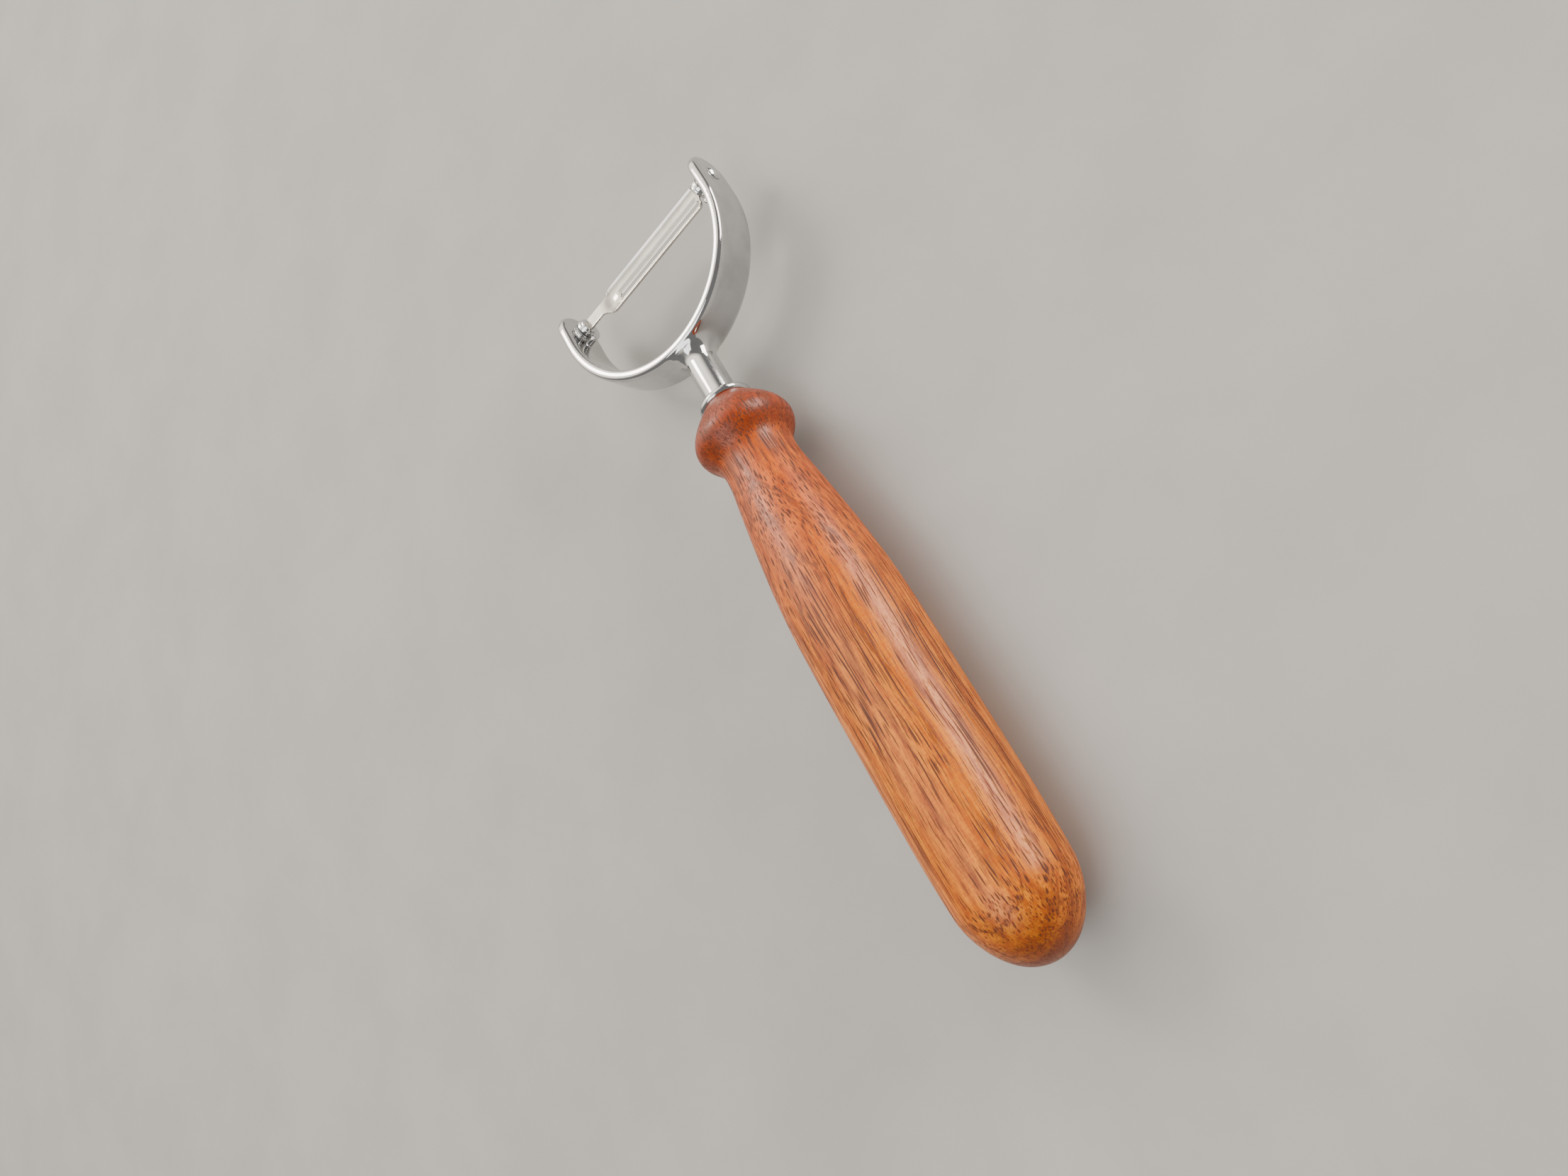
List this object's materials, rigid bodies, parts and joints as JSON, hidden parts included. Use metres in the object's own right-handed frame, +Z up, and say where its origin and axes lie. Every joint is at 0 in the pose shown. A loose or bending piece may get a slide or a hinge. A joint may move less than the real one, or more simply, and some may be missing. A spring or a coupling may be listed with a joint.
{
  "type": "swivel vegetable peeler",
  "caption": "Y-shaped hand peeler: a slotted blade swings between the arms of a polished bow on a turned wooden handle.",
  "frame": {"origin": "on the surface that the tool lies on, under the middle of its bounding box", "axes": "+X along the handle towards the bow, +Y across the bow along the blade's pivot axis, +Z up"},
  "size_m": [0.2142, 0.0646, 0.0292],
  "materials": {
    "wood": "satin oil finish, red-brown with dark pores",
    "brass": "turned",
    "stud_steel": "plain",
    "collar_chrome": "polished",
    "bow_chrome": "polished",
    "washer_steel": "plain",
    "pin_chrome": "polished",
    "blade_steel": "polished stainless"
  },
  "bodies": {
    "frame": {"handle": "wood", "threaded_insert": "brass", "stud": "stud_steel", "collar": "collar_chrome", "bow": "bow_chrome", "spacer_washer_left": "washer_steel", "spacer_washer_right": "washer_steel"},
    "blade": {"blade": "blade_steel", "pivot_pin_left": "pin_chrome", "pivot_pin_right": "pin_chrome"}
  },
  "joints": [
    {"name": "blade_swivel", "type": "hinge", "parent": "frame", "child": "blade", "pos_m": [0.1005, 0, 0.0146], "axis": [0, -1, 0], "range_deg": [-12, 208]}
  ]
}
